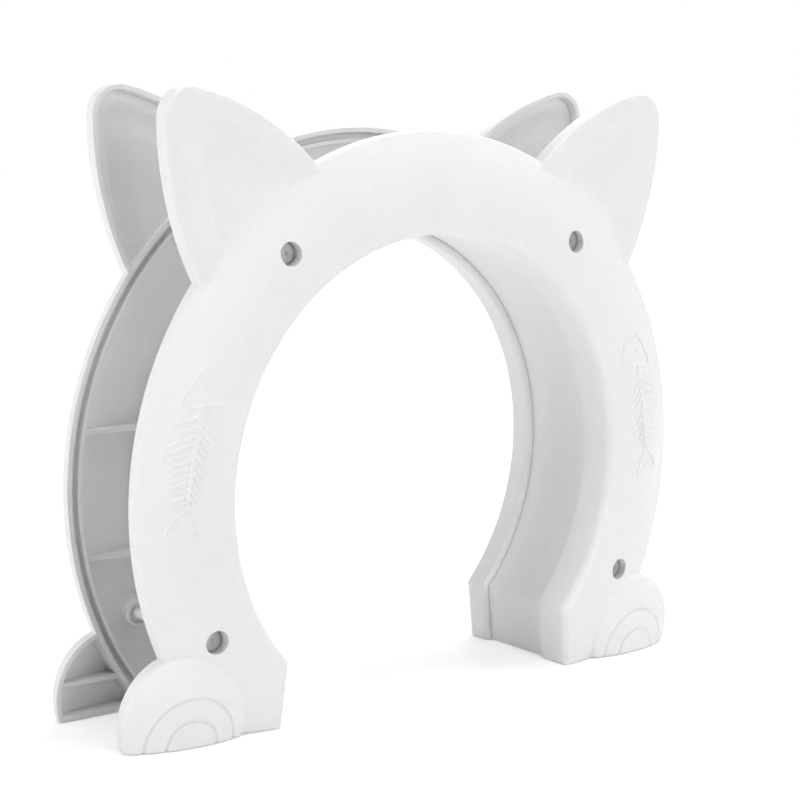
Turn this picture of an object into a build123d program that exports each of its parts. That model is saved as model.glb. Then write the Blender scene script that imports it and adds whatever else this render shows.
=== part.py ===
from build123d import *
import math
import os

os.makedirs("parts", exist_ok=True)

# Cat door frame for an interior door, in millimetres.
# X runs across the door, Y through it from front to rear, Z up from the floor.

# Arch and ring. The ring face is flat near the lip and domes down to its rim.
LIP_RADIUS = 90.2
RING_WIDTH = 37.8
FLAT_WIDTH = 7.8
RING_CENTRE_Z = 83.8
KNEE_Z = 23.4
FOOT_FLARE = 3.0
LIP_ROUND = 3.2
RIM_ROUND = 0.7

# Depths of the two halves, measured outwards from the door.
DOOR_GAP = 40.4
FRONT_RIM = 4.5
FRONT_FACE = 11.1
REAR_RIM = 3.9
REAR_FACE = 8.3
SKIN = 2.0

# Tunnel: the front lip steps out to a long sleeve, the rear spigot runs inside it.
LIP_LENGTH = 15.3
SLEEVE_STEP = 2.4
SLEEVE_WALL = 2.0
SLEEVE_REACH = 0.4
SPIGOT_WALL = 2.6
SPIGOT_REACH = 3.3
SPIGOT_LEAD = 0.9
SLIDE_GAP = 0.15
SOCKET_GAP = 0.6
SOCKET_WALL = 1.6

# Door side: rim, groove, ridge, ribs and floor wall.
RIM_WALL = 1.9
GROOVE_WIDTH = 2.4
GROOVE_SKIN = 1.3
RIDGE_WIDTH = 1.7
RIDGE_DROP = 0.3
RIB_ABOVE_CENTRE = 20.0
RIB_BELOW_CENTRE = 26.0
RIB_THICK = 1.8
RIB_DROP = 1.2
FLOOR_WALL = 2.0

# Ears, drawn from the point of the ring's edge that they grow out of.
EAR_ANGLE = 52.0
EAR_PROUD = 1.2
EAR_FOOT = (13.0, -39.8)
EAR_CORNER = (24.2, -24.5)
EAR_OUTER = (35.5, 6.0)
EAR_TIP = (37.8, 43.4)
EAR_INNER = (4.0, 34.8)
EAR_END = (-31.8, 7.8)
EAR_CORNER_ROUND = 0.8
EAR_TIP_ROUND = 11.0
EAR_EDGE_ROUND = 0.9
FIELD_FOOT = (7.7, -29.7)
FIELD_OUTER = (18.6, 1.0)
FIELD_TIP = (22.0, 25.5)
FIELD_INNER = (-1.5, 13.2)
FIELD_END = (-26.8, -5.7)
FIELD_TIP_ROUND = 3.0
FIELD_DEPTH = 2.0
FIELD_SLOPE = 0.6
FIELD_SKIN = 1.3

# Paws, drawn from the foot of the ring's outer edge.
PAW_OUT = 12.0
PAW_RISE = 8.0
PAW_HALF_WIDTH = 24.1
PAW_HALF_HEIGHT = 23.7
PAW_PROUD = 1.1
PAW_CROWN_OUT = 6.3
PAW_CROWN_RISE = 11.0
PAW_SIDE = 4.6
PAW_ROUND = 3.4
PAW_RIB_RISE = 13.0
TOE_RADII = (9.8, 17.3)
TOE_WIDTH = 1.5
TOE_DEPTH = 0.9

# Screws on one pitch circle, from seats in the front half to bosses in the rear half.
SCREW_INSET = 18.6
SCREW_ANGLES = (51.4, -26.2)
SHANK = 4.0
HEAD = 7.6
HEAD_HEIGHT = 2.2
HEAD_CHAMFER = 1.1
TIP_CHAMFER = 0.8
HEAD_GAP = 0.5
SHANK_GAP = 0.4
THREAD_GAP = 0.05
TIP_GAP = 0.2
SEAT_DEPTH = 6.7
SEAT_SKIN = 2.2
SEAT_WALL = 1.9
BOSS = 10.0
BOSS_DROP = 0.4
BOSS_CUP = 8.2
BOSS_CUP_DEPTH = 1.5
BOSS_FOOT = 2.5
BORE_SKIN = 1.3

# Sizes that follow from the ones above.
RING_RADIUS = LIP_RADIUS + RING_WIDTH
FLAT_RADIUS = LIP_RADIUS + FLAT_WIDTH
PITCH_RADIUS = RING_RADIUS - SCREW_INSET
KNEE_X = math.sqrt(LIP_RADIUS ** 2 - (RING_CENTRE_Z - KNEE_Z) ** 2)
RING_FOOT_X = math.sqrt(RING_RADIUS ** 2 - RING_CENTRE_Z ** 2)
SLEEVE_OUTER = SLEEVE_STEP + SLEEVE_WALL
SPIGOT_OUTER = SLEEVE_STEP - SLIDE_GAP
SPIGOT_INNER = SPIGOT_OUTER - SPIGOT_WALL
FRONT_DOOR_Y = (FRONT_FACE - REAR_FACE - DOOR_GAP) / 2
REAR_DOOR_Y = FRONT_DOOR_Y + DOOR_GAP
FAR = 3 * RING_RADIUS

AXIS = Axis((0, 0, RING_CENTRE_Z), (0, 1, 0))
TURN_PLANE = Plane(origin=(0, 0, RING_CENTRE_Z), x_dir=(1, 0, 0), z_dir=(0, 0, 1))


def seen(depth):
    """The plane at one depth, as seen from outside the door."""
    return Plane(origin=(0, depth, 0), x_dir=(1, 0, 0), z_dir=(0, -1, 0))


def prism(sketch, low, high):
    """A sketch drawn across the door, between two depths."""
    return extrude(seen(high) * sketch, high - low)


def turned(outline):
    """An outline of radius and depth, turned about the tunnel axis."""
    return revolve(TURN_PLANE * outline, AXIS, 360)


def ring(inner, outer, low, high):
    corners = [(inner, low), (outer, low), (outer, high), (inner, high)]
    return turned(make_face(Polyline(*corners, close=True)))


def rod(diameter, low, high):
    return prism(Circle(diameter / 2), low, high)


def both_sides(solid):
    return solid + mirror(solid, about=Plane.YZ)


def at_screws(solid):
    """Copies of a solid, drawn round the Y axis, on the four screw lines."""
    copies = []
    for angle in SCREW_ANGLES:
        x = PITCH_RADIUS * math.cos(math.radians(angle))
        z = PITCH_RADIUS * math.sin(math.radians(angle)) + RING_CENTRE_Z
        copies += [Pos(-x, 0, z) * solid, Pos(x, 0, z) * solid]
    return copies


def dome_depth(rim, face, radius, inset=0.0):
    """Depth of the domed ring face, or of its inner side, at one radius."""
    width = RING_RADIUS - FLAT_RADIUS
    drop = face - rim
    bend = (width ** 2 + drop ** 2) / (2 * drop)
    return face - bend + math.sqrt((bend - inset) ** 2 - (radius - FLAT_RADIUS) ** 2)


def domed(inner, outer, low, rim, face, inset=0.0):
    """Outline of the ring from one depth up to its flat and domed face."""
    middle = (FLAT_RADIUS + outer) / 2
    top = face - inset
    edge = dome_depth(rim, face, outer, inset)
    dome = ThreePointArc((FLAT_RADIUS, top), (middle, dome_depth(rim, face, middle, inset)), (outer, edge))
    sides = Polyline((outer, edge), (outer, low), (inner, low), (inner, top), (FLAT_RADIUS, top))
    return make_face([dome, sides])


def arch(grow):
    """Arch outline, grown outwards from the front lip: a circle over flared straight legs."""
    length = math.hypot(FOOT_FLARE, KNEE_Z)
    shift = grow * length / KNEE_Z

    def wall(z):
        return KNEE_X + shift + FOOT_FLARE * (KNEE_Z - z) / KNEE_Z

    low = -KNEE_Z
    high = (KNEE_Z + RING_CENTRE_Z) / 2
    legs = Polygon((-wall(low), low), (wall(low), low), (wall(high), high), (-wall(high), high), align=None)
    return Pos(0, RING_CENTRE_Z) * Circle(LIP_RADIUS + grow) + legs


def opening(lip, face, stations):
    """The void of the arch: a rounded mouth, then offsets and depths along the tunnel wall."""
    length = math.hypot(FOOT_FLARE, KNEE_Z)
    along = (-FOOT_FLARE / length, KNEE_Z / length)
    bend = LIP_ROUND * (1 - math.sqrt(0.5))

    def outline(base, inside):
        edge = base + lip
        mouth = [(inside, face + LIP_ROUND), (edge + LIP_ROUND, face + LIP_ROUND), (edge + LIP_ROUND, face)]
        curve = ThreePointArc(mouth[-1], (edge + bend, face - bend), (edge, face - LIP_ROUND))
        wall = [(edge, face - LIP_ROUND)] + [(base + grow, depth) for grow, depth in stations]
        return make_face([Polyline(*mouth), curve, Polyline(*wall, (inside, wall[-1][1]), mouth[0])])

    across = (along[1], 0, -along[0])
    leg_plane = Plane(origin=(KNEE_X, 0, KNEE_Z), x_dir=across, z_dir=(along[0], 0, along[1]))
    leg_face = leg_plane * outline(0.0, -KNEE_X - FOOT_FLARE - LIP_ROUND)
    leg = extrude(leg_face, (RING_CENTRE_Z - KNEE_Z) / 3) + extrude(leg_face, -2 * KNEE_Z)
    return turned(outline(LIP_RADIUS, 0.0)) + both_sides(leg)


def ear_place():
    turn = math.radians(EAR_ANGLE)
    return Pos(RING_RADIUS * math.cos(turn), RING_CENTRE_Z + RING_RADIUS * math.sin(turn))


def leaf(first, outer, tip, inner, end, tip_round, *foot):
    """Pointed shape of two arcs with a rounded tip; its foot lies under the ring."""
    sides = [ThreePointArc(first, outer, tip), ThreePointArc(tip, inner, end), Polyline(end, *foot, first)]
    face = make_face(sides)
    return fillet(face.vertices().sort_by_distance((*tip, 0))[0], tip_round)


def ear_outline():
    ear = leaf(EAR_CORNER, EAR_OUTER, EAR_TIP, EAR_INNER, EAR_END, EAR_TIP_ROUND, EAR_FOOT)
    return fillet(ear.vertices().sort_by_distance((*EAR_CORNER, 0))[0], EAR_CORNER_ROUND)


def walled(outline, wall):
    """Outline of lines and arcs, drawn again one wall further in."""
    sides = []
    for edge in offset(outline, -wall).edges():
        straight = edge.geom_type == GeomType.LINE
        sides.append(Line(edge @ 0, edge @ 1) if straight else ThreePointArc(edge @ 0, edge @ 0.5, edge @ 1))
    return make_face(sides)


def ear_dip(brim, floor):
    """The dip of the ear between two depths, on its right side."""
    outlines = ((brim, FIELD_SLOPE), (floor, 0.0))
    return loft([seen(depth) * ear_place() * ear_field(share) for depth, share in outlines])


def ear_field(share):
    """Outline part of the way from the sunk field of the ear to the ear's own edge."""
    def between(field, edge):
        return tuple(f + share * (e - f) for f, e in zip(field, edge))

    field = (FIELD_FOOT, FIELD_OUTER, FIELD_TIP, FIELD_INNER, FIELD_END)
    edge = (EAR_CORNER, EAR_OUTER, EAR_TIP, EAR_INNER, EAR_END)
    points = [between(*pair) for pair in zip(field, edge)]
    return leaf(*points, FIELD_TIP_ROUND + share * (EAR_TIP_ROUND - FIELD_TIP_ROUND))


def paw_ball(crown, inset=0.0):
    """Ball whose cap is the paw; it comes down to a low side wall at the outer end."""
    reach = PAW_OUT + PAW_HALF_WIDTH - PAW_CROWN_OUT
    drop = crown - PAW_SIDE
    radius = (reach ** 2 + drop ** 2) / (2 * drop)
    return Pos(RING_FOOT_X + PAW_CROWN_OUT, crown - radius, PAW_CROWN_RISE) * Sphere(radius - inset)


def paw_outline(inset=0.0):
    oval = Pos(0, PAW_RISE) * Ellipse(PAW_HALF_WIDTH - inset, PAW_HALF_HEIGHT - inset)
    upper = Pos(0, PAW_HALF_HEIGHT) * Rectangle(FAR, 2 * PAW_HALF_HEIGHT + 2 * PAW_RISE)
    return Pos(RING_FOOT_X + PAW_OUT, 0) * (oval & upper)


def half(rim, face, tube, tube_end, lip, stations, sockets, sleeve_path=None):
    """One half-frame with its door side at Y = 0 and its seen face towards +Y."""
    crown = face + PAW_PROUD
    disc = domed(0.0, RING_RADIUS, 0.0, rim, face)
    body = turned(fillet(disc.vertices().sort_by_distance((RING_RADIUS, rim, 0))[0], RIM_ROUND))

    # Ears that slope down to a sunk field.
    ear_face = rim + EAR_PROUD
    ear = prism(ear_place() * ear_outline(), 0.0, ear_face)
    ear = fillet(ear.edges().group_by(Axis.Y)[-1].filter_by(GeomType.CIRCLE), EAR_EDGE_ROUND)
    ear -= ear_dip(ear_face, ear_face - FIELD_DEPTH)
    body += both_sides(ear)

    # Paws with toe grooves.
    paw = prism(paw_outline(), 0.0, crown + PAW_PROUD) & paw_ball(crown)
    paw = fillet(paw.edges().filter_by(GeomType.BSPLINE), PAW_ROUND)
    for radius in TOE_RADII:
        band = Circle(radius + TOE_WIDTH / 2) - Circle(radius - TOE_WIDTH / 2)
        toe = prism(Pos(RING_FOOT_X + PAW_OUT, 0) * band, SKIN, crown + PAW_PROUD)
        paw -= toe - paw_ball(crown, TOE_DEPTH)
    body += both_sides(paw)

    # Channel behind the ring face, with ribs and screw sockets left standing in it.
    groove_inner = RING_RADIUS - RIM_WALL - GROOVE_WIDTH
    ridge_inner = groove_inner - RIDGE_WIDTH
    channel = turned(domed(KNEE_X, ridge_inner, -SKIN, rim, face, SKIN)) - prism(arch(tube), -FAR, FAR)
    rib = Box(FAR, face, RIB_THICK, align=(Align.CENTER, Align.MIN, Align.CENTER))
    rib_heights = (RING_CENTRE_Z + RIB_ABOVE_CENTRE, RING_CENTRE_Z - RIB_BELOW_CENTRE)
    ribs = Part() + [Pos(0, RIB_DROP, z) * rib for z in rib_heights]
    if sleeve_path:
        ribs -= prism(arch(sleeve_path), -FAR, FAR)
        ribs += prism(arch(sleeve_path + SOCKET_WALL) - arch(sleeve_path), RIB_DROP, face)
    channel -= ribs
    channel -= at_screws(sockets)

    # Groove between rim and ridge, then the pockets of the ears and paws.
    groove_outer = RING_RADIUS - RIM_WALL
    groove = ring(groove_inner, groove_outer, -SKIN, dome_depth(rim, face, groove_outer, GROOVE_SKIN))
    groove += ring(ridge_inner - RIDGE_DROP, groove_inner + RIDGE_DROP, -SKIN, RIDGE_DROP)
    outside = ring(RING_RADIUS, FAR, -SKIN, 2 * face)
    ear_back = ear_face - FIELD_SKIN
    ear_pocket = prism(ear_place() * walled(ear_outline(), RIM_WALL), -SKIN, ear_back)
    ear_pocket = (ear_pocket - ear_dip(ear_back, ear_back - FIELD_DEPTH)) & outside
    paw_pocket = prism(paw_outline(RIM_WALL), -SKIN, crown) & paw_ball(crown, SKIN) & outside
    paw_pocket -= Pos(RING_FOOT_X + PAW_OUT, RIB_DROP, PAW_RIB_RISE) * rib
    above_floor = Pos(0, 0, FLOOR_WALL) * Box(FAR, FAR, FAR, align=(Align.CENTER, Align.CENTER, Align.MIN))
    body -= (channel + groove + both_sides(paw_pocket + ear_pocket)) & above_floor
    if sleeve_path:
        body -= prism(arch(sleeve_path) - arch(tube), -SKIN, face - SKIN)

    # Tunnel wall and arch opening, cut off level at the floor.
    body += prism(arch(tube), tube_end, face - SKIN)
    body -= opening(lip, face, stations)
    return body & Box(FAR, FAR, FAR, align=(Align.CENTER, Align.CENTER, Align.MIN))


# Front half: counterbored seats and the long sleeve.
seat = FRONT_FACE - SEAT_DEPTH
lip_end = FRONT_FACE - LIP_LENGTH
sleeve_end = -DOOR_GAP - SLEEVE_REACH
counterbore = HEAD + 2 * HEAD_GAP
front = half(
    FRONT_RIM, FRONT_FACE, SLEEVE_OUTER, sleeve_end, 0.0,
    [(0.0, lip_end), (SLEEVE_STEP, lip_end), (SLEEVE_STEP, sleeve_end - SKIN)],
    rod(counterbore + 2 * SEAT_WALL, seat - SEAT_SKIN, FRONT_FACE),
)
front -= at_screws(rod(counterbore, seat, 2 * FRONT_FACE) + rod(SHANK + 2 * SHANK_GAP, -SKIN, FRONT_FACE))
front = Pos(0, FRONT_DOOR_Y, 0) * mirror(front, about=Plane.XZ)

# Rear half: the short spigot and blind bosses with a cupped mouth and a coned foot.
spigot_end = -SPIGOT_REACH
bore_end = dome_depth(REAR_RIM, REAR_FACE, PITCH_RADIUS) - BORE_SKIN
foot_height = REAR_FACE - SKIN - BOSS_FOOT
boss_foot = Pos(0, foot_height, 0) * Rot(-90, 0, 0) * Cone(
    BOSS / 2, BOSS / 2 + 2 * BOSS_FOOT, 2 * BOSS_FOOT, align=(Align.CENTER, Align.CENTER, Align.MIN))
rear = half(
    REAR_RIM, REAR_FACE, SPIGOT_OUTER, spigot_end, SPIGOT_INNER,
    [(SPIGOT_INNER, spigot_end + SPIGOT_LEAD), (SPIGOT_INNER + SPIGOT_LEAD, spigot_end),
     (SPIGOT_INNER + SPIGOT_LEAD, spigot_end - SKIN)],
    rod(BOSS, BOSS_DROP, REAR_FACE) + boss_foot, SLEEVE_OUTER + SOCKET_GAP,
)
rear -= at_screws(rod(BOSS_CUP, 0, BOSS_DROP + BOSS_CUP_DEPTH) + rod(SHANK + 2 * THREAD_GAP, 0, bore_end))
rear = Pos(0, REAR_DOOR_Y, 0) * rear

# Four pan-head screws, seated in the front half and threaded into the rear bosses.
seat_y = FRONT_DOOR_Y - seat
head = rod(HEAD, seat_y - HEAD_HEIGHT, seat_y)
head = chamfer(head.edges().sort_by(Axis.Y)[0], HEAD_CHAMFER)
shank = rod(SHANK, seat_y, REAR_DOOR_Y + bore_end - TIP_GAP)
shank = chamfer(shank.edges().sort_by(Axis.Y)[-1], TIP_CHAMFER)
screws = Compound(children=at_screws(head + shank))

for name, solid in (("front_frame", front), ("rear_frame", rear), ("fixing_screws", screws)):
    export_step(solid, f"parts/{name}.step")
    box = solid.bounding_box()
    print(name, len(solid.solids()), round(solid.volume), box.min, box.max)
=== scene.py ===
from collections import namedtuple
import math

import bmesh
import bpy
from mathutils import Matrix, Vector


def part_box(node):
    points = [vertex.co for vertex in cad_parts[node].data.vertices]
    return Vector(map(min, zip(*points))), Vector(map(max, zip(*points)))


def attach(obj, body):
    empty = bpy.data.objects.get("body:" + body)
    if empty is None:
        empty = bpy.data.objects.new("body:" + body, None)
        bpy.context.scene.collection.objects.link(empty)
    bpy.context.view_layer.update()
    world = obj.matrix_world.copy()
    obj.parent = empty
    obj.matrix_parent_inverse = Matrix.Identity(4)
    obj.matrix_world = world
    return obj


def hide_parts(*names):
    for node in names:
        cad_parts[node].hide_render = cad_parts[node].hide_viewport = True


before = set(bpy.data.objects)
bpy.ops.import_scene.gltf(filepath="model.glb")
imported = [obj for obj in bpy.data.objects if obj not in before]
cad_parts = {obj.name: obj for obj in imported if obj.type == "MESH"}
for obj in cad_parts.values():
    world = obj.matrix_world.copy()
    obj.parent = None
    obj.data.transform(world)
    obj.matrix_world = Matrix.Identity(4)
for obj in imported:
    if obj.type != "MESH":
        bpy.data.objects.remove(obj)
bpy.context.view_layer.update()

# Lengths are in millimetres and angles in degrees, unless a comment says otherwise.
MM = 0.001
TOUCH = 0.001 * MM
FACING = 0.9

# The two halves as the solids have them, with depths counted outwards from each door side.
RING_CENTRE_Z = 83.8
FLAT_RADIUS = 98.0
RING_RADIUS = 128.0
Half = namedtuple("Half", "name door_y outwards rim face")
HALVES = (Half("front", -18.8, -1, 4.5, 11.1), Half("rear", 21.6, 1, 3.9, 8.3))

# Moulded skin: shares and ranges of its noises, depth of its grain, radii of softened edges.
SPECK_SHARE, FLOW_SHARE = 0.45, 0.55
MOTTLE_RANGE = (0.32, 0.68)
GLOSS_RANGE = (0.3, 0.7)
GRAIN_DEPTH = 0.02
EDGE_SAMPLES = 6
FRONT_SOFT_EDGE, REAR_SOFT_EDGE = 0.3, 0.65

# Finishes, as inputs of the surface group, with their bump strengths.
PLASTIC = {
    "Grain Size": 2600.0, "Dark": (0.83, 0.832, 0.836, 1), "Light": (0.872, 0.873, 0.875, 1),
    "Smooth": 0.4, "Rough": 0.52,
}
POLISHED = dict(PLASTIC, Smooth=0.34, Rough=0.46)
SHANK_ZINC = {
    "Grain Size": 1500.0, "Dark": (0.88, 0.885, 0.89, 1), "Light": (0.93, 0.93, 0.935, 1),
    "Smooth": 0.3, "Rough": 0.45,
}
# The head's zinc is a darker copy of the shank's zinc: painted shade for the head sitting deep in
# its hole.
HEAD_ZINC_PAINTED_SHADE = {
    "Grain Size": 1500.0, "Dark": (0.36, 0.362, 0.365, 1), "Light": (0.42, 0.422, 0.425, 1),
    "Smooth": 0.46, "Rough": 0.6,
}
PLASTIC_BUMP, POLISHED_BUMP, SHANK_BUMP, HEAD_BUMP = 0.55, 0.3, 0.4, 0.5
PLASTIC_IOR = 1.46
SHANK_METALLIC, HEAD_METALLIC = 0.25, 0.4

# Edges that bend more than this, in radians, stay sharp.
SCREW_SHARP, EJECTOR_SHARP, STRIP_SHARP = 0.5, 0.3, 0.9

# Fixing screws: the angle of each screw line, and how far its head is turned.
PITCH_RADIUS = 109.4
SCREW_LINES = ((51.4, 12), (128.6, 58), (-26.2, 81), (206.2, 33))
SEAT_Y = -23.2
TIP_Y = 27.77
TIP_TAPER = 0.8
TIP_SHARE = 0.6
SHANK_RADIUS = 2.0
HEAD_RADIUS = 3.8
HEAD_HEIGHT = 2.2
HEAD_SIDES = 48
HEAD_DOME, DOME_STEPS, DOME_PROFILE = 0.5, 6, 0.55
HEAD_MARGIN = 0.01
RECESS_LENGTH, RECESS_WIDTH, RECESS_DEPTH = 2.8, 0.6, 0.3
RECESS_SHARE = 0.6

# Round ejector marks on the backs of the ears, in x and z.
EJECTOR_PLACES = ((-100.6, 173.0), (100.6, 173.0), (-108.8, 219.9))
EJECTOR_RADIUS = 4.2
EJECTOR_SIDES = 64
EJECTOR_INSETS = (0.3, 0.3, 0.9, 0.9, 0.9)
EJECTOR_RISE = 0.12
EJECTOR_SINK = 0.3

# Thin strips laid on the seen faces, found by rays from in front of them.
STRIP_EYE = 40.0
STRIP_THICK = 0.35

# Blends at the feet of the ears: the angles and radii that they run over, and their borders.
BLEND_ANGLES = (39.0, 62.6)
BLEND_RADII = (125.4, 133.6)
BLEND_COLUMNS, BLEND_ROWS = 90, 24
BLEND_PROBE = 0.5
BLEND_FADE = 6.0
BLEND_EDGE = 0.08
BLEND_SINK = 0.08

# Toe grooves round the middle of each paw's foot.
PAW_CENTRE_X = 108.755
TOE_RADII = (9.8, 17.3)
TOE_ENDS = 0.4
TOE_HALF_WIDTH = 0.85
TOE_REACH = 1.3
TOE_DIP = 0.85
TOE_SHOULDER = 0.04
TOE_COLUMNS, TOE_ROWS = 96, 20

# Fish skeleton on the left of the front face, in x and z; the other three are copies of it.
FISH_HEAD = (
    (-106.4, 118.3), (-109.3, 118.2), (-111.9, 118.0), (-112.9, 119.4), (-112.5, 121.4),
    (-110.8, 124.2), (-108.3, 127.4), (-105.7, 130.4), (-103.4, 132.5), (-101.4, 132.5),
    (-98.9, 131.2), (-96.9, 128.9), (-95.4, 125.6), (-94.8, 122.2), (-95.5, 119.8),
    (-97.6, 119.1), (-101.0, 118.9), (-104.2, 118.8),
)
FISH_EYE = (-104.2, 124.6)
FISH_EYE_RADIUS = 0.55
FISH_TAIL = (
    (-110.9, 84.4), (-109.6, 82.2), (-107.9, 79.4), (-106.6, 76.2), (-106.0, 72.9),
    (-107.0, 72.3), (-108.8, 74.2), (-110.9, 76.0), (-112.9, 76.8), (-115.0, 76.6),
    (-117.0, 75.5), (-118.6, 74.6), (-119.0, 75.6), (-118.0, 78.3), (-116.3, 81.0),
    (-114.0, 82.9), (-111.9, 84.2),
)
FISH_TAIL_CORNERS = (4, 5, 11, 12)
FISH_SPINE = (
    (-105.4, 119.2), (-105.8, 114.5), (-107.0, 109.3), (-108.2, 104.2), (-109.0, 99.6),
    (-109.8, 94.6), (-110.7, 89.4), (-111.4, 83.6),
)
SPINE_HALF_WIDTHS = (1.0, 0.95, 0.85, 0.8, 0.75, 0.7, 0.6, 0.5)

# Ribs of the fish, each from its root beside the spine to its tip.
RIBS_OUTER = (
    ((-107.0, 115.5), (-115.2, 113.5)), ((-107.3, 112.3), (-116.8, 109.6)),
    ((-108.2, 109.1), (-117.9, 106.2)), ((-108.8, 106.4), (-119.0, 103.2)),
    ((-109.6, 103.8), (-119.0, 101.0)), ((-109.9, 101.0), (-117.2, 98.7)),
    ((-110.2, 98.5), (-117.4, 96.3)), ((-110.4, 96.1), (-117.4, 93.9)),
    ((-111.1, 93.6), (-117.7, 91.6)), ((-111.3, 91.1), (-116.1, 89.6)),
    ((-111.6, 88.8), (-116.2, 87.2)), ((-111.7, 86.5), (-115.2, 85.2)),
)
RIBS_INNER = (
    ((-105.2, 113.7), (-100.2, 108.3)), ((-105.8, 111.2), (-101.8, 105.9)),
    ((-106.4, 108.4), (-103.0, 103.4)), ((-107.2, 105.2), (-103.9, 100.6)),
    ((-107.9, 102.2), (-104.5, 97.3)), ((-108.4, 99.3), (-104.9, 93.8)),
    ((-108.8, 96.6), (-105.9, 91.0)), ((-109.3, 93.6), (-106.6, 88.3)),
    ((-109.9, 90.6), (-107.6, 86.4)), ((-110.4, 88.2), (-109.0, 85.4)),
)
RIB_HALF_WIDTH = 0.5
RIB_TIP_SHARE = 0.8
RIB_OVERLAP = 0.6

# Height of the fish over the face, its foot in the face, and how its edges are rounded.
OUTLINE_WIDTH = 0.8
OUTLINE_STEPS = 6
RELIEF_HEIGHT = 0.4
RELIEF_SINK = 0.4
RELIEF_GRAIN = 0.16
SOFTEN_SHARE, SOFTEN_ROUNDS = 0.5, 5

# Camera at the photograph's place: beside the frame's left, level with the tips of the ears.
CAMERA_PLACE = Vector((-493.65, -608.55, 226.46)) * MM
CAMERA_RIGHT = Vector((0.7750, -0.6317, 0.0185))
CAMERA_UP = Vector((0.0794, 0.1263, 0.9888))
CAMERA_LENS = 93.4
CAMERA_SENSOR = 36
CAMERA_NEAR, CAMERA_FAR = 10, 50000

# Floor, with its size and the radii of its lift in metres.
FLOOR_SIZE = 8
FLOOR_COLOUR = (0.92, 0.92, 0.92, 1)
FLOOR_ROUGHNESS = 0.9
FLOOR_NEAR_LIFT, FLOOR_FAR_LIFT = 0.31, 1.0
FLOOR_NEAR, FLOOR_FAR = 0.2, 0.6
FLOOR_GAP = 0.5

# Lamps, with their places and sizes in metres and their powers in watts.
LAMP_AIM = Vector((0, 0, 0.1))
SOFTBOXES = (
    ("front_softbox", (0, -1.6, 0.7), 1.0, 8.3),
    ("front_right_softbox", (1.1, -1.2, 0.7), 1.0, 2.4),
    ("low_front_softbox", (0, -1.5, 0.3), 0.5, 1.8),
    ("low_left_softbox", (-1.5, 0, 0.3), 0.5, 6.3),
    ("top_left_softbox", (-1.0, -0.1, 1.4), 0.8, 4.5),
    ("top_right_softbox", (1.0, -0.1, 1.4), 0.8, 10.0),
    ("top_softbox", (0, -0.2, 1.6), 1.3, 9.7),
    ("back_left_softbox", (-1.1, 1.1, 0.7), 1.0, 4.5),
    ("back_right_softbox", (1.1, 1.1, 0.7), 1.0, 12.0),
)


def deselect():
    bpy.ops.object.select_all(action="DESELECT")


def pick(obj):
    """Makes one piece the only selected and active one."""
    deselect()
    obj.select_set(True)
    bpy.context.view_layer.objects.active = obj


def apply_modifiers(obj):
    pick(obj)
    for modifier in list(obj.modifiers):
        bpy.ops.object.modifier_apply(modifier=modifier.name)


def bake_place(obj):
    """Moves a piece's place, turn and scale into its mesh."""
    pick(obj)
    bpy.ops.object.transform_apply(location=True, rotation=True, scale=True)
    return obj


def join(pieces, name):
    """Makes one piece of several and leaves it active."""
    deselect()
    for piece in pieces:
        piece.select_set(True)
    bpy.context.view_layer.objects.active = pieces[0]
    bpy.ops.object.join()
    pieces[0].name = name
    return pieces[0]


def select_parts(obj, kind, wanted):
    """In edit mode, selects only the faces or edges that a test picks out."""
    bpy.ops.mesh.select_mode(type=kind)
    bpy.ops.mesh.select_all(action="DESELECT")
    mesh = bmesh.from_edit_mesh(obj.data)
    for part in mesh.faces if kind == "FACE" else mesh.edges:
        part.select_set(wanted(part))
    bmesh.update_edit_mesh(obj.data)


def faces_rear(face):
    return face.normal.y > FACING


def twin(obj, name):
    """A copy of a piece with a mesh of its own."""
    made = obj.copy()
    made.data = obj.data.copy()
    made.name = name
    bpy.context.collection.objects.link(made)
    return made


def outward_normals(obj):
    """Merges points that touch and turns all faces outwards."""
    pick(obj)
    bpy.ops.object.mode_set(mode="EDIT")
    bpy.ops.mesh.select_all(action="SELECT")
    bpy.ops.mesh.remove_doubles(threshold=TOUCH)
    bpy.ops.mesh.normals_make_consistent(inside=False)
    bpy.ops.object.mode_set(mode="OBJECT")


# Node groups and materials.

def add_node(nodes, kind, **values):
    """A new node with values for some of its inputs."""
    node = nodes.new(kind)
    for key, value in values.items():
        node.inputs[key.replace("_", " ")].default_value = value
    return node


def maths(nodes, links, operation, *terms):
    """Output of a maths node that is fed by numbers and by other outputs."""
    node = nodes.new("ShaderNodeMath")
    node.operation = operation
    for term, entry in zip(terms, node.inputs):
        if isinstance(term, float):
            entry.default_value = term
        else:
            links.new(term, entry)
    return node.outputs[0]


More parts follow.
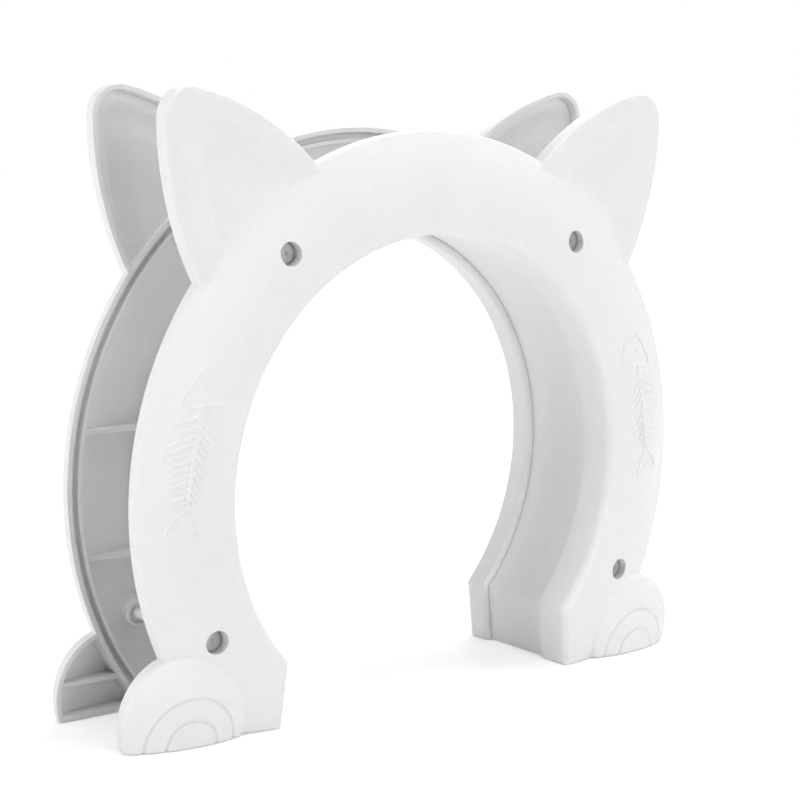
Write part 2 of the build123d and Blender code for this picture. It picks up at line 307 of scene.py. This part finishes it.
def moulded_surface():
    """Group: fine spark-eroded grain, soft flow marks and a faint mottle of a moulded skin."""
    group = bpy.data.node_groups.new("moulded_surface", "ShaderNodeTree")
    for side, name, kind in (
        ("INPUT", "Grain Size", "Float"), ("INPUT", "Dark", "Color"),
        ("INPUT", "Light", "Color"), ("INPUT", "Smooth", "Float"), ("INPUT", "Rough", "Float"),
        ("OUTPUT", "Colour", "Color"), ("OUTPUT", "Roughness", "Float"),
        ("OUTPUT", "Height", "Float"),
    ):
        group.interface.new_socket(name=name, in_out=side, socket_type=f"NodeSocket{kind}")
    nodes, links = group.nodes, group.links
    gin, gout = nodes.new("NodeGroupInput"), nodes.new("NodeGroupOutput")
    place = nodes.new("ShaderNodeTexCoord")
    grain = add_node(nodes, "ShaderNodeTexNoise", Detail=3)
    flow = add_node(nodes, "ShaderNodeTexNoise", Scale=26, Detail=4, Distortion=0.6)
    speck = add_node(nodes, "ShaderNodeTexNoise", Scale=420, Detail=2)
    for noise in (grain, flow, speck):
        links.new(place.outputs["Object"], noise.inputs["Vector"])
    links.new(gin.outputs["Grain Size"], grain.inputs["Scale"])
    links.new(grain.outputs["Fac"], gout.inputs["Height"])

    flow_part = maths(nodes, links, "MULTIPLY", flow.outputs["Fac"], FLOW_SHARE)
    mottle = maths(nodes, links, "MULTIPLY_ADD", speck.outputs["Fac"], SPECK_SHARE, flow_part)
    low, high = MOTTLE_RANGE
    spread = add_node(nodes, "ShaderNodeMapRange", From_Min=low, From_Max=high)
    links.new(mottle, spread.inputs["Value"])
    tint = nodes.new("ShaderNodeMix")
    tint.data_type = "RGBA"
    links.new(spread.outputs["Result"], tint.inputs["Factor"])
    links.new(gin.outputs["Dark"], tint.inputs["A"])
    links.new(gin.outputs["Light"], tint.inputs["B"])
    links.new(tint.outputs["Result"], gout.inputs["Colour"])

    low, high = GLOSS_RANGE
    gloss = add_node(nodes, "ShaderNodeMapRange", From_Min=low, From_Max=high)
    links.new(flow.outputs["Fac"], gloss.inputs["Value"])
    links.new(gin.outputs["Smooth"], gloss.inputs["To Min"])
    links.new(gin.outputs["Rough"], gloss.inputs["To Max"])
    links.new(gloss.outputs["Result"], gout.inputs["Roughness"])
    return group


def new_material(name):
    material = bpy.data.materials.new(name)
    material.use_nodes = True
    return material, material.node_tree.nodes, material.node_tree.links


def finish_from(group, name, values, bump, soft_edge=0.0, **inputs):
    """Material of one finish, fed by the surface group; its edges may be softened."""
    material, nodes, links = new_material(name)
    shader = nodes["Principled BSDF"]
    for key, value in inputs.items():
        shader.inputs[key].default_value = value
    surface = nodes.new("ShaderNodeGroup")
    surface.node_tree = group
    for key, value in values.items():
        surface.inputs[key].default_value = value
    relief = add_node(nodes, "ShaderNodeBump", Strength=bump, Distance=GRAIN_DEPTH * MM)
    links.new(surface.outputs["Colour"], shader.inputs["Base Color"])
    links.new(surface.outputs["Roughness"], shader.inputs["Roughness"])
    links.new(surface.outputs["Height"], relief.inputs["Height"])
    links.new(relief.outputs["Normal"], shader.inputs["Normal"])
    if soft_edge:
        edge = add_node(nodes, "ShaderNodeBevel", Radius=soft_edge * MM)
        edge.samples = EDGE_SAMPLES
        links.new(edge.outputs["Normal"], relief.inputs["Normal"])
    return material


def dress(obj, material):
    obj.data.materials.clear()
    obj.data.materials.append(material)


surface_group = moulded_surface()
white_plastic = finish_from(
    surface_group, "white_moulded_plastic", PLASTIC, PLASTIC_BUMP,
    soft_edge=FRONT_SOFT_EDGE, IOR=PLASTIC_IOR,
)
rounder_plastic = finish_from(
    surface_group, "rounder_moulded_plastic", PLASTIC, PLASTIC_BUMP,
    soft_edge=REAR_SOFT_EDGE, IOR=PLASTIC_IOR,
)
blended_plastic = finish_from(
    surface_group, "blended_plastic", PLASTIC, PLASTIC_BUMP, IOR=PLASTIC_IOR,
)
polished_relief = finish_from(
    surface_group, "polished_relief", POLISHED, POLISHED_BUMP, IOR=PLASTIC_IOR,
)
bright_zinc = finish_from(
    surface_group, "bright_zinc", SHANK_ZINC, SHANK_BUMP, Metallic=SHANK_METALLIC,
)
# Darker copy of the zinc for the screw heads: painted shade, not a colour of its own.
head_zinc_painted_shade = finish_from(
    surface_group, "head_zinc_painted_shade", HEAD_ZINC_PAINTED_SHADE, HEAD_BUMP, Metallic=HEAD_METALLIC,
)

dress(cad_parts["front_frame"], white_plastic)
dress(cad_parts["rear_frame"], rounder_plastic)
dress(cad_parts["fixing_screws"], bright_zinc)


# Fixing screws.

def recess_bar(turn):
    """Cutter for one pair of arms of the cross recess, tapered towards its bottom."""
    deselect()
    bpy.ops.mesh.primitive_cube_add(
        size=1, location=(0, (SEAT_Y - HEAD_HEIGHT) * MM, 0), rotation=(0, math.radians(turn), 0),
    )
    bar = bpy.context.object
    bar.scale = (RECESS_LENGTH * MM, 2 * RECESS_DEPTH * MM, RECESS_WIDTH * MM)
    bpy.ops.object.mode_set(mode="EDIT")
    select_parts(bar, "FACE", faces_rear)
    bpy.ops.transform.resize(value=(RECESS_SHARE, 1, RECESS_SHARE))
    bpy.ops.object.mode_set(mode="OBJECT")
    return bake_place(bar)


def draw_out(length):
    """Extrudes the selected faces towards the rear."""
    bpy.ops.mesh.extrude_region_move(TRANSFORM_OT_translate={"value": (0, length * MM, 0)})


def fixing_screw():
    """Pan-head screw along Y with a domed head, a cross recess and a plain shank."""
    deselect()
    bpy.ops.mesh.primitive_cylinder_add(
        vertices=HEAD_SIDES, radius=HEAD_RADIUS * MM, depth=HEAD_HEIGHT * MM,
        location=(0, (SEAT_Y - HEAD_HEIGHT / 2) * MM, 0), rotation=(math.pi / 2, 0, 0),
    )
    screw = bake_place(bpy.context.object)
    screw.name = "fixing_screw"
    bpy.ops.object.mode_set(mode="EDIT")
    select_parts(screw, "FACE", faces_rear)
    bpy.ops.mesh.inset(thickness=(HEAD_RADIUS - SHANK_RADIUS) * MM)
    draw_out(TIP_Y - TIP_TAPER - SEAT_Y)
    draw_out(TIP_TAPER)
    bpy.ops.transform.resize(value=(TIP_SHARE, 1, TIP_SHARE))
    top = (SEAT_Y - HEAD_HEIGHT) * MM
    select_parts(screw, "EDGE", lambda edge: all(abs(v.co.y - top) < TOUCH for v in edge.verts))
    bpy.ops.mesh.bevel(
        offset=HEAD_DOME * MM, segments=DOME_STEPS, profile=DOME_PROFILE, affect="EDGES",
    )
    bpy.ops.object.mode_set(mode="OBJECT")
    for turn in (0, 90):
        bar = recess_bar(turn)
        cut = screw.modifiers.new("recess", "BOOLEAN")
        cut.operation = "DIFFERENCE"
        cut.object = bar
        apply_modifiers(screw)
        bpy.data.objects.remove(bar)
    outward_normals(screw)

    # The head is rougher than the shank. Its darker zinc colour is painted shade for its seat deep
    # in the hole.
    dress(screw, bright_zinc)
    screw.data.materials.append(head_zinc_painted_shade)
    head_end = (SEAT_Y - HEAD_MARGIN) * MM
    bpy.ops.object.mode_set(mode="EDIT")
    select_parts(screw, "FACE", lambda face: face.calc_center_median().y < head_end)
    screw.active_material_index = 1
    bpy.ops.object.material_slot_assign()
    bpy.ops.object.mode_set(mode="OBJECT")
    bpy.ops.object.shade_smooth_by_angle(angle=SCREW_SHARP)
    return screw


pattern_screw = fixing_screw()
screws = []
for line, turn in SCREW_LINES:
    screw = twin(pattern_screw, "fixing_screw_copy")
    angle = math.radians(line)
    reach = Vector((math.cos(angle), 0, math.sin(angle))) * PITCH_RADIUS
    screw.location = (reach + Vector((0, 0, RING_CENTRE_Z))) * MM
    screw.rotation_euler = (0, math.radians(turn), 0)
    screws.append(bake_place(screw))
bpy.data.objects.remove(pattern_screw)
screw_set = join(screws, "fixing_screw_set")
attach(screw_set, "front_half")
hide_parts("fixing_screws")


# Ejector marks.

def ejector_pad(half, x, z):
    """Low round pad left by an ejector pin, pressed onto the back of an ear."""
    deselect()
    bpy.ops.mesh.primitive_circle_add(
        vertices=EJECTOR_SIDES, radius=EJECTOR_RADIUS * MM, fill_type="NGON",
        location=(x * MM, half.door_y * MM, z * MM), rotation=(half.outwards * math.pi / 2, 0, 0),
    )
    pad = bake_place(bpy.context.object)
    bpy.ops.object.mode_set(mode="EDIT")
    for step in EJECTOR_INSETS:
        bpy.ops.mesh.inset(thickness=step * MM)
    bpy.ops.object.mode_set(mode="OBJECT")
    press = pad.modifiers.new("press", "SHRINKWRAP")
    press.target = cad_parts[f"{half.name}_frame"]
    press.wrap_method = "PROJECT"
    press.use_project_y = True
    press.use_positive_direction = half.outwards > 0
    press.use_negative_direction = half.outwards < 0
    thicken = pad.modifiers.new("thicken", "SOLIDIFY")
    thicken.thickness = (EJECTOR_RISE + EJECTOR_SINK) * MM
    thicken.offset = (EJECTOR_RISE - EJECTOR_SINK) / (EJECTOR_RISE + EJECTOR_SINK)
    apply_modifiers(pad)
    return pad


for half in HALVES:
    pads = [ejector_pad(half, x, z) for x, z in EJECTOR_PLACES]
    marks = join(pads, f"ejector_marks_{half.name}")
    outward_normals(marks)
    bpy.ops.object.shade_smooth_by_angle(angle=EJECTOR_SHARP)
    dress(marks, white_plastic)
    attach(marks, f"{half.name}_half")


# Soft strips laid on the seen faces: blends at the ears, rounded toe grooves on the paws.

def surface_depth(half, x, z):
    """Depth of a half's seen face, in millimetres from the door."""
    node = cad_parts[f"{half.name}_frame"]
    to_node = node.matrix_world.inverted()
    eye_y = half.door_y + half.outwards * STRIP_EYE
    start = to_node @ Vector((x * MM, eye_y * MM, z * MM))
    _, place, _, _ = node.ray_cast(start, to_node.to_3x3() @ Vector((0, -half.outwards, 0)))
    return half.outwards * ((node.matrix_world @ place).y / MM - half.door_y)


def laid_strip(half, columns, rows, place):
    """Thin sheet on a seen face; place gives x, depth and z at a share of its length and width."""
    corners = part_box(f"{half.name}_frame")
    proudest = max(half.outwards * (corner[1] / MM - half.door_y) for corner in corners)
    deselect()
    bpy.ops.mesh.primitive_grid_add(x_subdivisions=columns, y_subdivisions=rows, size=1)
    strip = bpy.context.object
    for vertex in strip.data.vertices:
        x, depth, z = place(vertex.co.x + 0.5, vertex.co.y + 0.5)
        y = half.door_y + half.outwards * min(depth, proudest)
        vertex.co = (x * MM, y * MM, z * MM)
    bpy.ops.object.mode_set(mode="EDIT")
    bpy.ops.mesh.select_all(action="SELECT")
    mesh = bmesh.from_edit_mesh(strip.data)
    mesh.normal_update()
    if sum(face.normal.y for face in mesh.faces) * half.outwards < 0:
        bpy.ops.mesh.flip_normals()
    bpy.ops.object.mode_set(mode="OBJECT")
    thicken = strip.modifiers.new("thicken", "SOLIDIFY")
    thicken.thickness = STRIP_THICK * MM
    thicken.offset = -1
    apply_modifiers(strip)
    return strip


def ear_blend(half, side):
    """Soft hollow fillet along the foot of one ear, from the ring's dome to the sunk field."""
    inner, outer = BLEND_RADII
    width = outer - inner
    first, last = (math.radians(angle) for angle in BLEND_ANGLES)
    probes = (inner - BLEND_PROBE, inner, outer, outer + BLEND_PROBE)
    profiles = {}

    def spot(angle, radius):
        return side * math.cos(angle) * radius, math.sin(angle) * radius + RING_CENTRE_Z

    def profile(angle):
        """Depth and slope of the face at both sides of the blend."""
        before, start, end, after = (surface_depth(half, *spot(angle, r)) for r in probes)
        return start, (start - before) / BLEND_PROBE, end, (after - end) / BLEND_PROBE

    def place(along, across):
        angle = first + along * (last - first)
        if along not in profiles:
            profiles[along] = profile(angle)
        start, start_slope, end, end_slope = profiles[along]
        t = across
        depth = (2 * t ** 3 - 3 * t ** 2 + 1) * start
        depth += (t ** 3 - 2 * t ** 2 + t) * width * start_slope
        depth += (3 * t ** 2 - 2 * t ** 3) * end + (t ** 3 - t ** 2) * width * end_slope
        border = min(across, 1 - across, along * BLEND_FADE, (1 - along) * BLEND_FADE)
        depth -= BLEND_SINK * max(0.0, 1 - border / BLEND_EDGE)
        x, z = spot(angle, inner + across * width)
        return x, depth, z

    return laid_strip(half, BLEND_COLUMNS, BLEND_ROWS, place)


def toe_valley(half, side, toe_radius):
    """Rounded valley that lines one toe groove, with soft shoulders on the paw beside it."""
    shoulders = (toe_radius - TOE_REACH, toe_radius + TOE_REACH)
    profiles = {}

    def spot(angle, radius):
        return side * (PAW_CENTRE_X + math.cos(angle) * radius), math.sin(angle) * radius

    def place(along, across):
        angle = math.radians(TOE_ENDS + along * (180 - 2 * TOE_ENDS))
        if along not in profiles:
            profiles[along] = [surface_depth(half, *spot(angle, r)) for r in shoulders]
        inner, outer = profiles[along]
        offset = (2 * across - 1) * TOE_REACH
        depth = inner + across * (outer - inner) + TOE_SHOULDER
        if abs(offset) < TOE_HALF_WIDTH:
            depth -= TOE_DIP * math.cos(math.pi * offset / (2 * TOE_HALF_WIDTH)) ** 2
        else:
            slide = (abs(offset) - TOE_HALF_WIDTH) / (TOE_REACH - TOE_HALF_WIDTH)
            depth -= slide ** 2 * 2 * TOE_SHOULDER
        x, z = spot(angle, toe_radius + offset)
        return x, depth, z

    return laid_strip(half, TOE_COLUMNS, TOE_ROWS, place)


for half in HALVES:
    ear_blends = [ear_blend(half, side) for side in (-1, 1)]
    toe_valleys = [toe_valley(half, side, radius) for side in (-1, 1) for radius in TOE_RADII]
    for strips, name in ((ear_blends, "ear_blends"), (toe_valleys, "toe_grooves")):
        strip_set = join(strips, f"{name}_{half.name}")
        bpy.ops.object.shade_smooth_by_angle(angle=STRIP_SHARP)
        dress(strip_set, blended_plastic)
        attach(strip_set, f"{half.name}_half")


# Fish relief.

def dome_depth(half, radius):
    """Depth of a half's ring face, in millimetres from the door."""
    width, drop = RING_RADIUS - FLAT_RADIUS, half.face - half.rim
    bend = (width ** 2 + drop ** 2) / (2 * drop)
    over = max(radius - FLAT_RADIUS, 0.0)
    return half.face - bend + math.sqrt(bend ** 2 - over ** 2)


def drawn_in(points, width):
    """A closed outline, drawn again a line's width further in."""
    ring = [Vector(point) for point in points]
    steps = list(zip(ring[-1:] + ring[:-1], ring, ring[1:] + ring[:1]))
    turn = 1 if sum(a.x * b.y - a.y * b.x for a, b, _ in steps) > 0 else -1
    inner = []
    for before, point, after in steps:
        along = (after - before).normalized()
        inner.append(point + turn * width * Vector((-along.y, along.x)))
    return inner


def flat_shape(name, points, corners=(), hole=()):
    """Plate of the relief's thickness inside a smooth closed outline, with a hole or none."""
    deselect()
    bpy.ops.curve.primitive_bezier_circle_add(radius=1)
    shape = bpy.context.object
    shape.name = name
    curve = shape.data
    curve.dimensions = "2D"
    curve.fill_mode = "BOTH"
    curve.extrude = (RELIEF_HEIGHT + RELIEF_SINK) / 2 * MM
    curve.resolution_u = OUTLINE_STEPS
    curve.splines.clear()
    for line in filter(len, (points, hole)):
        spline = curve.splines.new("BEZIER")
        spline.bezier_points.add(len(line) - 1)
        spline.use_cyclic_u = True
        for index, ((x, z), knot) in enumerate(zip(line, spline.bezier_points)):
            knot.co = (x * MM, z * MM, 0)
            kind = "VECTOR" if index in corners else "AUTO"
            knot.handle_left_type = knot.handle_right_type = kind
    pick(shape)
    bpy.ops.object.convert(target="MESH")
    return shape


def tapered_bar(name, path, half_widths):
    """Plate along a path, with a width at each point."""
    sides = []
    for index, (x, z) in enumerate(path):
        before, after = path[max(index - 1, 0)], path[min(index + 1, len(path) - 1)]
        along = Vector((after[0] - before[0], after[1] - before[1])).normalized()
        across = Vector((-along[1], along[0])) * half_widths[index]
        sides.append(((x + across[0], z + across[1]), (x - across[0], z - across[1])))
    outline = [side[0] for side in sides] + [side[1] for side in reversed(sides)]
    ends = (0, len(path) - 1, len(path), 2 * len(path) - 1)
    return flat_shape(name, outline, ends)


def fish_relief():
    """Fish skeleton as one plate in the plane of the ring face, before it is laid on the dome."""
    compass = ((1, 0), (0, 1), (-1, 0), (0, -1))
    eye = [Vector(FISH_EYE) + Vector(step) * FISH_EYE_RADIUS for step in compass]
    head_hole = drawn_in(FISH_HEAD, OUTLINE_WIDTH)
    tail_hole = drawn_in(FISH_TAIL, OUTLINE_WIDTH)
    parts = [
        flat_shape("fish_head", FISH_HEAD, hole=head_hole),
        flat_shape("fish_tail", FISH_TAIL, FISH_TAIL_CORNERS, tail_hole),
        flat_shape("fish_eye", eye),
        tapered_bar("fish_spine", FISH_SPINE, SPINE_HALF_WIDTHS),
    ]
    rib_half_widths = (RIB_HALF_WIDTH, RIB_HALF_WIDTH * RIB_TIP_SHARE)
    for root, tip in RIBS_OUTER + RIBS_INNER:
        start = Vector(root) - (Vector(tip) - Vector(root)).normalized() * RIB_OVERLAP
        parts.append(tapered_bar("fish_rib", (tuple(start), tip), rib_half_widths))
    fish = join(parts, "fish_relief")
    fish.rotation_euler = (math.pi / 2, 0, 0)
    bake_place(fish)
    blend = fish.modifiers.new("one_skin", "REMESH")
    blend.mode = "VOXEL"
    blend.voxel_size = RELIEF_GRAIN * MM
    soften = fish.modifiers.new("soft_edges", "SMOOTH")
    soften.factor = SOFTEN_SHARE
    soften.iterations = SOFTEN_ROUNDS
    apply_modifiers(fish)
    return fish


def lay_on_dome(fish, name, half, side):
    """A copy of the plate, mirrored to its side and moved onto one domed ring face."""
    laid = twin(fish, name)
    middle = (RELIEF_HEIGHT - RELIEF_SINK) / 2
    for vertex in laid.data.vertices:
        x, thick, z = vertex.co.x / MM, vertex.co.y / MM, vertex.co.z / MM
        depth = dome_depth(half, math.hypot(x, z - RING_CENTRE_Z)) + middle + thick
        vertex.co = (side * x * MM, (half.door_y + half.outwards * depth) * MM, z * MM)
    outward_normals(laid)
    bpy.ops.object.shade_smooth()
    dress(laid, polished_relief)
    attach(laid, f"{half.name}_half")


fish_plate = fish_relief()
for half in HALVES:
    for side_name, side in (("left", 1), ("right", -1)):
        lay_on_dome(fish_plate, f"fish_{half.name}_{side_name}", half, side)
bpy.data.objects.remove(fish_plate)


# Camera.

deselect()
bpy.ops.object.camera_add(location=CAMERA_PLACE)
camera = bpy.context.object
back = CAMERA_RIGHT.cross(CAMERA_UP)
camera.rotation_euler = Matrix((CAMERA_RIGHT, CAMERA_UP, back)).transposed().to_euler()
camera.data.sensor_width = CAMERA_SENSOR
camera.data.lens = CAMERA_LENS
camera.data.clip_start = CAMERA_NEAR * MM
camera.data.clip_end = CAMERA_FAR * MM
bpy.context.scene.camera = camera


# Floor, sky and lamps.

def seen_directly(nodes, links):
    """Value that is one where the eye, a mirror or a glass looks straight at a surface."""
    rays = nodes.new("ShaderNodeLightPath").outputs
    first = maths(nodes, links, "MAXIMUM", rays["Is Camera Ray"], rays["Is Glossy Ray"])
    return maths(nodes, links, "MAXIMUM", first, rays["Is Transmission Ray"])


deselect()
bpy.ops.mesh.primitive_plane_add(size=FLOOR_SIZE, location=(0, 0, -FLOOR_GAP * MM))
floor = bpy.context.object
floor.name = "studio_floor"
floor_paint, nodes, links = new_material("studio_floor")
paint = nodes["Principled BSDF"]
paint.inputs["Base Color"].default_value = FLOOR_COLOUR
paint.inputs["Roughness"].default_value = FLOOR_ROUGHNESS
paint.inputs["Specular IOR Level"].default_value = 0.0
spot = nodes.new("ShaderNodeTexCoord")
reach = nodes.new("ShaderNodeVectorMath")
reach.operation = "LENGTH"
links.new(spot.outputs["Object"], reach.inputs[0])
whiten = add_node(
    nodes, "ShaderNodeMapRange", From_Min=FLOOR_NEAR, From_Max=FLOOR_FAR,
    To_Min=FLOOR_NEAR_LIFT, To_Max=FLOOR_FAR_LIFT,
)
whiten.interpolation_type = "SMOOTHSTEP"
links.new(reach.outputs["Value"], whiten.inputs["Value"])
strength = maths(nodes, links, "MULTIPLY", seen_directly(nodes, links), whiten.outputs["Result"])
lift = nodes.new("ShaderNodeEmission")
links.new(strength, lift.inputs["Strength"])
both = nodes.new("ShaderNodeAddShader")
links.new(paint.outputs[0], both.inputs[0])
links.new(lift.outputs[0], both.inputs[1])
links.new(both.outputs[0], nodes["Material Output"].inputs["Surface"])
dress(floor, floor_paint)

world = bpy.data.worlds.new("white_studio")
bpy.context.scene.world = world
world.use_nodes = True
nodes, links = world.node_tree.nodes, world.node_tree.links
sky = nodes["Background"]
sky.inputs["Color"].default_value = (1, 1, 1, 1)
links.new(seen_directly(nodes, links), sky.inputs["Strength"])

for name, place, size, power in SOFTBOXES:
    deselect()
    bpy.ops.object.light_add(type="AREA", location=place)
    lamp = bpy.context.object
    lamp.name = name
    lamp.rotation_euler = (LAMP_AIM - Vector(place)).to_track_quat("-Z", "Y").to_euler()
    lamp.data.shape = "SQUARE"
    lamp.data.size = size
    lamp.data.energy = power

bpy.context.scene.view_settings.view_transform = "Standard"
